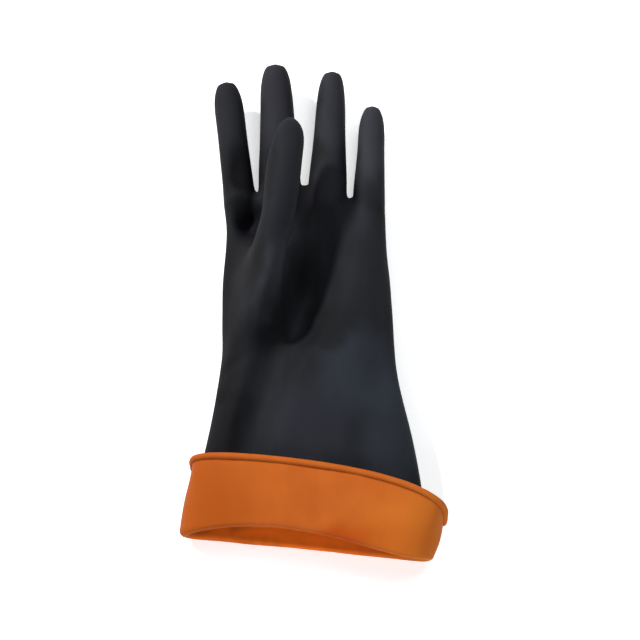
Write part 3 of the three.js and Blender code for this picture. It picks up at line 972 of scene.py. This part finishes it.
        quads = np.array(net.quads)
        points = np.array(net.points)
        rise = self.relief(points, face_normals(points, quads))
        on_body = np.arange(len(points)) >= len(cuff) * self.columns
        on_body[np.setdiff1d(np.arange(len(points)), quads)] = False
        points[:, 2] += np.where(on_body, rise, 0.0)
        net.points = list(points)
        return net, rings[0]

    def add_fingers(self, net: QuadNet, roots: list[int]) -> None:
        """Adds the webs and the four fingers.

        Args:
            net: the net so far.
            roots: the ring at the fingers' roots.
        """
        webs = []
        for w, y in enumerate(self.crotches):
            left, right = self.fingers[w], self.fingers[w + 1]
            left_mid = net.add(np.array((left.root[0] + left.wide, y, left.root[2])))
            right_mid = net.add(np.array((right.root[0] - right.wide, y, right.root[2])))
            webs.append((left_mid, right_mid))
            end = (w + 1) * self.finger_columns - 1
            palm = self.side_points(roots, Side.PALM, (end, end + 1))
            back = self.side_points(roots, Side.BACK, (end, end + 1))
            net.quads.append((palm[0], palm[1], right_mid, left_mid))
            net.quads.append((back[1], back[0], left_mid, right_mid))
        for f, finger in enumerate(self.fingers):
            own = range(f * self.finger_columns, (f + 1) * self.finger_columns)
            left_mid = roots[0] if f == 0 else webs[f - 1][1]
            right_mid = roots[self.right_edge] if f == len(self.fingers) - 1 else webs[f][0]
            palm = self.side_points(roots, Side.PALM, own)
            back = self.side_points(roots, Side.BACK, reversed(own))
            loop = [left_mid, *palm, right_mid, *back]
            for points in self.finger_loops(finger):
                ring = net.ring(points)
                net.band(loop, ring)
                loop = ring
            net.cap(loop, 1, self.finger_columns - 1, 2, np.array(finger.tip))

    def add_thumb(self, net: QuadNet, rows: list[list[int]], first: int, last: int) -> None:
        """Adds the thumb on its patch of the palm.

        Args:
            net: the net so far.
            rows: the rings that the patch reaches across.
            first: the patch's first column.
            last: its last column.
        """
        patch = [ring[first : last + 1] for ring in rows]
        sides = patch[1:-1]
        right = [row[-1] for row in sides]
        left = [row[0] for row in reversed(sides)]
        loop = [*patch[0], *right, *reversed(patch[-1]), *left]
        edge = list(loop)
        rings = []
        for row in self.thumb:
            ring = net.ring(self.thumb_loop(row, len(loop), last - first))
            net.band(loop, ring)
            rings.append(ring)
            loop = ring
        net.cap(loop, 0, last - first, len(rows) - 1, np.array(self.thumb_tip))
        around = net.neighbours()
        near = dict.fromkeys([*edge, *rings[0], *rings[1]])
        for i in edge:
            near.update(dict.fromkeys(sorted(around[i])))
        net.relax(list(near), self.root_relaxing)


# The smooth surface


@dataclass(frozen=True)
class Crease:
    """A soft furrow pressed into the lying rubber, with a low shoulder on each side.

    path is in plan, in millimetres. The furrow counts on faces that look up, between two heights. Its
    shoulders have a share of its depth and lie a number of widths off its middle, and its ends are blunt.
    """

    name: str
    path: tuple[Span, ...]
    width: float
    depth: float
    heights: Span = (4.0, 200.0)
    shoulder: float = 0.35
    shoulder_place: float = 1.7
    blunt_end: float = 0.04

    def rise(self, points: Array, normals: Array) -> Array:
        """The furrow's rise, mostly negative, at each point.

        Args:
            points: places in millimetres.
            normals: unit normals there.

        Returns:
            The rise along the normal, in millimetres.
        """
        plan = points[:, :2]
        nearest = np.full(len(points), np.inf)
        fade = np.zeros(len(points))
        count = len(self.path) - 1
        for i in range(count):
            start, end = np.array(self.path[i]), np.array(self.path[i + 1])
            run = end - start
            share = np.clip((plan - start) @ run / (run @ run), 0, 1)
            gap = np.linalg.norm(plan - start - share[:, None] * run, axis=1)
            whole = (i + share) / count
            closer = gap < nearest
            nearest = np.where(closer, gap, nearest)
            inside = np.clip(whole, self.blunt_end, 1 - self.blunt_end)
            fade = np.where(closer, np.sin(math.pi * inside), fade)
        across = nearest / self.width
        shape = -np.exp(-(across**2)) + self.shoulder * np.exp(-((across - self.shoulder_place) ** 2))
        low, high = self.heights
        on = (points[:, 2] > low) & (points[:, 2] < high)
        return self.depth * shape * np.sqrt(fade) * np.clip(normals[:, 2], 0, 1) * on


@dataclass(frozen=True)
class Hollow(Oval):
    """A steep-walled hollow with a flat floor in the upper face. It acts below a height.

    steepness is how quickly it comes in on faces that turn from the side towards up.
    """

    depth: float
    below: float = 60.0
    steepness: float = 2.0

    def rise(self, points: Array, normals: Array) -> Array:
        """The hollow's fall, negative, at each point.

        Args:
            points: places in millimetres.
            normals: unit normals there.

        Returns:
            The rise along Z, in millimetres.
        """
        along, across = self.shares(points)
        shape = np.exp(-((along**2 + across**2) ** 2))
        facing = np.clip(normals[:, 2] * self.steepness, 0, 1)
        return -self.depth * shape * facing * (points[:, 2] < self.below)


@dataclass
class RubberSurface:
    """The glove's smooth outer face, in millimetres on the CAD model, from which each layer is set off."""

    points: Array
    quads: Array
    normals: Array

    def moved_in(self, depth: float) -> Array:
        """The surface that lies this far inside the outer face."""
        return self.points - self.normals * depth


@dataclass(frozen=True)
class SurfaceMaker:
    """Turns the net into the smooth surface and gives it the fine relief of soft, lying rubber."""

    form: GloveForm
    levels: int = 3
    correcting_rounds: int = 5
    correcting_share: float = 0.8
    tuck: float = 3.0
    wave_mm: float = 34.0
    wave_height: float = 0.55
    ripple_mm: float = 12.0
    ripple_height: float = 0.16
    creases: tuple[Crease, ...] = (
        Crease("edge of the valley", ((-36, -44), (-45, -70), (-54, -100), (-58, -118)), 6.0, 1.1),
        Crease("wrinkle at the wrist", ((-74, -66), (-62, -57), (-48, -50)), 4.0, 0.9),
        Crease("wrinkle left of the valley", ((-76, -86), (-66, -84), (-56, -92)), 4.5, 1.0),
        Crease("wrinkle by the gauntlet's dent", ((36, -52), (50, -62), (62, -70)), 5.0, 0.7),
        Crease("crease of the palm", ((-8, 62), (14, 66), (34, 58)), 3.5, 0.35),
        Crease("crease round the thumb's root", ((-16, -4), (-22, -20), (-34, -34)), 4.0, 0.5),
    )
    hollows: tuple[Hollow, ...] = (
        Hollow("pit behind the thumb's web", -46, 65, 11.5, 13, 0, 6.4, 42),
        Hollow("slack side of the index", -55, 108, 22, 11, -10, 2.5, 42),
        Hollow("low end of the trough", -9, -30, 12, 12, 20, 4, 60),
    )

    def surface(self, low_corner: Array) -> tuple[RubberSurface, Array]:
        """Builds the smooth surface.

        Args:
            low_corner: the lowest corner of the CAD node of the outer layer, in millimetres.

        Returns:
            The surface, and the bead's centre line at the net's columns.
        """
        net, hem = self.form.net()
        points, quads = np.array(net.points), np.array(net.quads)
        normals = face_normals(points, quads)
        used = np.unique(quads)
        lowest = np.minimum(points[used].min(axis=0), (points - normals * self.form.layer)[used].min(axis=0))
        points = points + (low_corner - lowest)
        centres, tucked = self.bead_line(points, normals, hem)
        first = len(points)
        points = np.concatenate((points, tucked))
        count = len(hem)
        extra = [(first + i, first + (i + 1) % count, hem[(i + 1) % count], hem[i]) for i in range(count)]
        quads = np.concatenate((quads, np.array(extra)))
        smooth = self.subdivided(self.controls(points, quads), quads)
        return self.with_fine_relief(smooth), centres

    def bead_line(self, points: Array, normals: Array, hem: list[int]) -> tuple[Array, Array]:
        """The bead's centre line, and the ring past the hem that tucks the layers' edges into the bead.

        Args:
            points: the net's points.
            normals: their unit normals.
            hem: the numbers of the hem's points.

        Returns:
            The centre line and the tucked ring.
        """
        edge, outwards = points[hem], normals[hem]
        along = np.roll(edge, -1, axis=0) - np.roll(edge, 1, axis=0)
        past = unit(np.cross(along, outwards))
        reach = self.form.bead_radius + self.form.layer_gap
        return edge - outwards * self.form.bead_proud + past * reach, edge + past * self.tuck

    def controls(self, wanted: Array, quads: Array) -> Array:
        """Control points whose smooth surface passes through the wanted points.

        Args:
            wanted: where the smooth surface has to lie.
            quads: the net's quads.

        Returns:
            The control points.
        """
        count = len(wanted)
        pairs = np.concatenate([quads[:, [i, (i + 1) % 4]] for i in range(4)])
        keys = np.sort(pairs, axis=1)
        edges, uses = np.unique(keys, axis=0, return_counts=True)
        border = edges[uses == 1]
        on_border = np.zeros(count, bool)
        on_border[border] = True
        valence = np.bincount(quads.ravel(), minlength=count).astype(float)
        used = valence > 0
        controls = wanted.copy()
        for _ in range(self.correcting_rounds):
            ring, far = np.zeros_like(controls), np.zeros_like(controls)
            for i in range(4):
                corner, after, opposite, before = (quads[:, (i + step) % 4] for step in range(4))
                np.add.at(ring, corner, controls[after] + controls[before])
                np.add.at(far, corner, controls[opposite])
            n = np.maximum(valence, 1)[:, None]
            limit = (n * n * controls + 2 * ring + far) / (n * (n + 5))
            sides = np.zeros_like(controls)
            np.add.at(sides, border[:, 0], controls[border[:, 1]])
            np.add.at(sides, border[:, 1], controls[border[:, 0]])
            limit = np.where(on_border[:, None], (4 * controls + sides) / 6, limit)
            closer = controls + self.correcting_share * (wanted - limit)
            controls = np.where(used[:, None], closer, controls)
        return controls

    def subdivided(self, points: Array, quads: Array) -> RubberSurface:
        """Subdivides the net onto its smooth limit surface.

        Args:
            points: the control points.
            quads: the net's quads.

        Returns:
            The surface.
        """
        mesh = new_mesh("net", points, quads)
        scratch = add_object("net", mesh)
        smoothing = scratch.modifiers.new("smooth", "SUBSURF")
        smoothing.levels = smoothing.render_levels = self.levels
        evaluated = scratch.evaluated_get(bpy.context.evaluated_depsgraph_get())
        fine = bpy.data.meshes.new_from_object(evaluated)
        places = np.empty(len(fine.vertices) * 3, np.float32)
        fine.vertices.foreach_get("co", places)
        corners = np.empty(len(fine.loops), np.int32)
        fine.loops.foreach_get("vertex_index", corners)
        bpy.data.objects.remove(scratch)
        for used_up in (mesh, fine):
            bpy.data.meshes.remove(used_up)
        quads = corners.reshape(-1, 4)
        kept, numbers = np.unique(quads, return_inverse=True)
        places = places.reshape(-1, 3).astype(float)[kept]
        quads = numbers.reshape(-1, 4)
        return RubberSurface(places, quads, face_normals(places, quads))

    def with_fine_relief(self, smooth: RubberSurface) -> RubberSurface:
        """Adds waves, ripples, creases and hollows, and keeps the rubber above the table.

        Args:
            smooth: the smooth surface.

        Returns:
            The dressed surface.
        """
        waves = self.waviness(smooth.points, self.wave_mm) * self.wave_height
        ripples = self.waviness(smooth.points, self.ripple_mm) * self.ripple_height
        rise = waves + ripples
        for crease in self.creases:
            rise += crease.rise(smooth.points, smooth.normals)
        points = smooth.points + smooth.normals * rise[:, None]
        for hollow in self.hollows:
            points[:, 2] += hollow.rise(smooth.points, smooth.normals)
        points[:, 2] = np.maximum(points[:, 2], 0.0)
        return RubberSurface(points, smooth.quads, face_normals(points, smooth.quads))

    def waviness(self, points: Array, size: float) -> Array:
        """Smooth noise from -1 to 1 with bumps this many millimetres apart, twice as long along the glove."""
        stretched = points / np.array((size, 2 * size, size))
        return np.array([noise.noise(Vector(place)) for place in stretched])


# Pieces


def mesh_piece(name: str, points: Array, quads: Array, material: bpy.types.Material) -> bpy.types.Object:
    """Makes a smooth-shaded object of quads.

    Args:
        name: the piece's name.
        points: places in millimetres.
        quads: the quads' corners.
        material: its material.

    Returns:
        The object, in metres, linked to the scene.
    """
    mesh = new_mesh(name, points * MILLIMETRE, quads)
    mesh.shade_smooth()
    mesh.materials.append(material)
    log.info("%s: %d points, %d quads", name, len(points), len(quads))
    return add_object(name, mesh)


def placed(piece: bpy.types.Object, node: str) -> bpy.types.Object:
    """Lets a piece stand for its CAD node and ride on the one body."""
    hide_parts(node)
    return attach(piece, "root")


@dataclass(frozen=True)
class OuterLayer:
    """The black rubber outside, from the fingertips round the fold and on under the turned cuff."""

    surface: RubberSurface
    finish: DippedRubber = BLACK_NATURAL_RUBBER

    def build(self) -> bpy.types.Object:
        """Builds and places the layer's outer face."""
        points, quads = self.surface.points, self.surface.quads
        piece = mesh_piece("black_outer_skin", points, quads, self.finish.material())
        return placed(piece, "outer_layer")


@dataclass(frozen=True)
class InnerLayer:
    """The orange rubber inside, which shows in the mouth and on the turned cuff."""

    surface: RubberSurface
    depth: float
    material: bpy.types.Material

    def build(self) -> bpy.types.Object:
        """Builds and places the layer's inner face, which looks into the glove."""
        quads = self.surface.quads[:, ::-1]
        piece = mesh_piece("orange_inner_skin", self.surface.moved_in(self.depth), quads, self.material)
        return placed(piece, "inner_layer")


@dataclass(frozen=True)
class RolledBead:
    """The hem, rolled up on itself while the rubber was tacky."""

    line: Array
    radius: float
    material: bpy.types.Material
    sides: int = 20
    steps: int = 9
    uneven: float = 0.14
    uneven_mm: float = 16.0

    def centre_line(self) -> Array:
        """A smooth closed line through the centre points."""
        before, here, after = np.roll(self.line, 1, axis=0), self.line, np.roll(self.line, -1, axis=0)
        beyond = np.roll(self.line, -2, axis=0)
        slope = after - before
        bend = 2 * before - 5 * here + 4 * after - beyond
        twist = 3 * here - before - 3 * after + beyond
        shares = np.arange(self.steps) / self.steps
        rows = [0.5 * (2 * here + slope * t + bend * t**2 + twist * t**3) for t in shares]
        return np.stack(rows, axis=1).reshape(-1, 3)

    def build(self) -> bpy.types.Object:
        """Builds and places the bead."""
        line = self.centre_line()
        count = len(line)
        along = unit(np.roll(line, -1, axis=0) - np.roll(line, 1, axis=0))
        away = line - line.mean(axis=0)
        outwards = unit(away - along * np.sum(away * along, axis=1, keepdims=True))
        sideways = np.cross(along, outwards)
        angles = 2 * math.pi * np.arange(self.sides) / self.sides
        points = []
        for i in range(count):
            for angle in angles:
                ray = outwards[i] * math.cos(angle) + sideways[i] * math.sin(angle)
                uneven = self.uneven * noise.noise(Vector((line[i] + ray * self.radius) / self.uneven_mm))
                points.append(line[i] + ray * (self.radius + uneven))
        quads = []
        for i in range(count):
            j = (i + 1) % count
            for s in range(self.sides):
                t = (s + 1) % self.sides
                quads.append((i * self.sides + s, j * self.sides + s, j * self.sides + t, i * self.sides + t))
        piece = mesh_piece("rolled_hem_bead", np.array(points), np.array(quads), self.material)
        return placed(piece, "rolled_bead")


# Studio


@dataclass(frozen=True)
class Softbox:
    """A round soft light. azimuth is from +X towards +Y, in degrees; distance and size are in metres."""

    name: str
    azimuth: float
    elevation: float
    distance: float
    size: float
    power: float
    colour: Point = (1.0, 1.0, 1.0)

    def build(self, aim: Vector) -> None:
        """Hangs the light so that it faces a point.

        Args:
            aim: the point, in metres.
        """
        azimuth, elevation = math.radians(self.azimuth), math.radians(self.elevation)
        level = math.cos(elevation)
        way = Vector((level * math.cos(azimuth), level * math.sin(azimuth), math.sin(elevation)))
        light = bpy.data.lights.new(self.name, "AREA")
        light.shape = "DISK"
        light.size = self.size
        light.energy = self.power
        light.color = self.colour
        lamp = add_object(self.name, light)
        lamp.location = aim + way * self.distance
        lamp.rotation_euler = way.to_track_quat("Z", "Y").to_euler()


@dataclass(frozen=True)
class Studio:
    """The pale floor, the soft lights and the camera at the photograph's angle.

    The floor's size and the softboxes are in metres, and the other sizes in millimetres.
    """

    aim: Point = (4.4, -14.7, 20.0)
    distance: float = 1360.0
    elevation: float = 70.0
    focal_length: float = 100.0
    sensor_width: float = 36.0
    floor_size: float = 9.0
    floor_drop: float = 0.2
    softboxes: tuple[Softbox, ...] = (
        Softbox("softbox_key", 144, 41, 3.0, 0.375, 112, (1.0, 0.99, 0.97)),
        Softbox("softbox_fill", 56, 62, 1.7, 1.2, 14, (0.95, 0.98, 1.0)),
        Softbox("softbox_front", -95, 30, 0.75, 0.4, 1.9, (1.0, 1.0, 1.0)),
    )
    sky_colour: Colour = (0.93, 0.96, 1.0, 1.0)
    ambient: float = 0.16

    def floor(self) -> None:
        """Lays the floor just under the glove."""
        corners = np.array(((-1, -1, 0), (1, -1, 0), (1, 1, 0), (-1, 1, 0))) * self.floor_size / 2
        mesh = new_mesh("studio_floor", corners, np.array([(0, 1, 2, 3)]))
        mesh.materials.append(PalePaper().material())
        floor = add_object("studio_floor", mesh)
        floor.location.z = -self.floor_drop * MILLIMETRE

    def lights(self) -> None:
        """Hangs the softboxes and fills with an even pale sky."""
        for softbox in self.softboxes:
            softbox.build(Vector(self.aim) * MILLIMETRE)
        world = bpy.data.worlds.new("studio")
        world.use_nodes = True
        sky = world.node_tree.nodes["Background"]
        sky.inputs["Color"].default_value = self.sky_colour
        sky.inputs["Strength"].default_value = self.ambient
        bpy.context.scene.world = world

    def camera(self) -> None:
        """Sets the camera at its angle above the floor."""
        lens = bpy.data.cameras.new("camera")
        lens.lens = self.focal_length
        lens.sensor_width = self.sensor_width
        camera = add_object("camera", lens)
        rise = math.radians(self.elevation)
        back = Vector((0.0, -math.cos(rise), math.sin(rise))) * self.distance
        camera.location = (Vector(self.aim) + back) * MILLIMETRE
        camera.rotation_euler = (math.pi / 2 - rise, 0.0, 0.0)
        bpy.context.scene.camera = camera

    def build(self) -> None:
        """Sets up the whole studio."""
        self.floor()
        self.lights()
        self.camera()
        bpy.context.scene.view_settings.view_transform = "Standard"
        log.info("studio: floor, %d softboxes, sky and camera", len(self.softboxes))


def main() -> None:
    logging.basicConfig(level=logging.INFO, format="%(message)s")
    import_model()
    form = GloveForm()
    low_corner = np.array(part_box("outer_layer")[0]) / MILLIMETRE
    surface, bead_line = SurfaceMaker(form).surface(low_corner)
    orange = ORANGE_NATURAL_RUBBER.material()
    OuterLayer(surface).build()
    InnerLayer(surface, 2 * form.layer + form.layer_gap, orange).build()
    RolledBead(bead_line, form.bead_radius, orange).build()
    Studio().build()


if __name__ == "__main__":
    main()
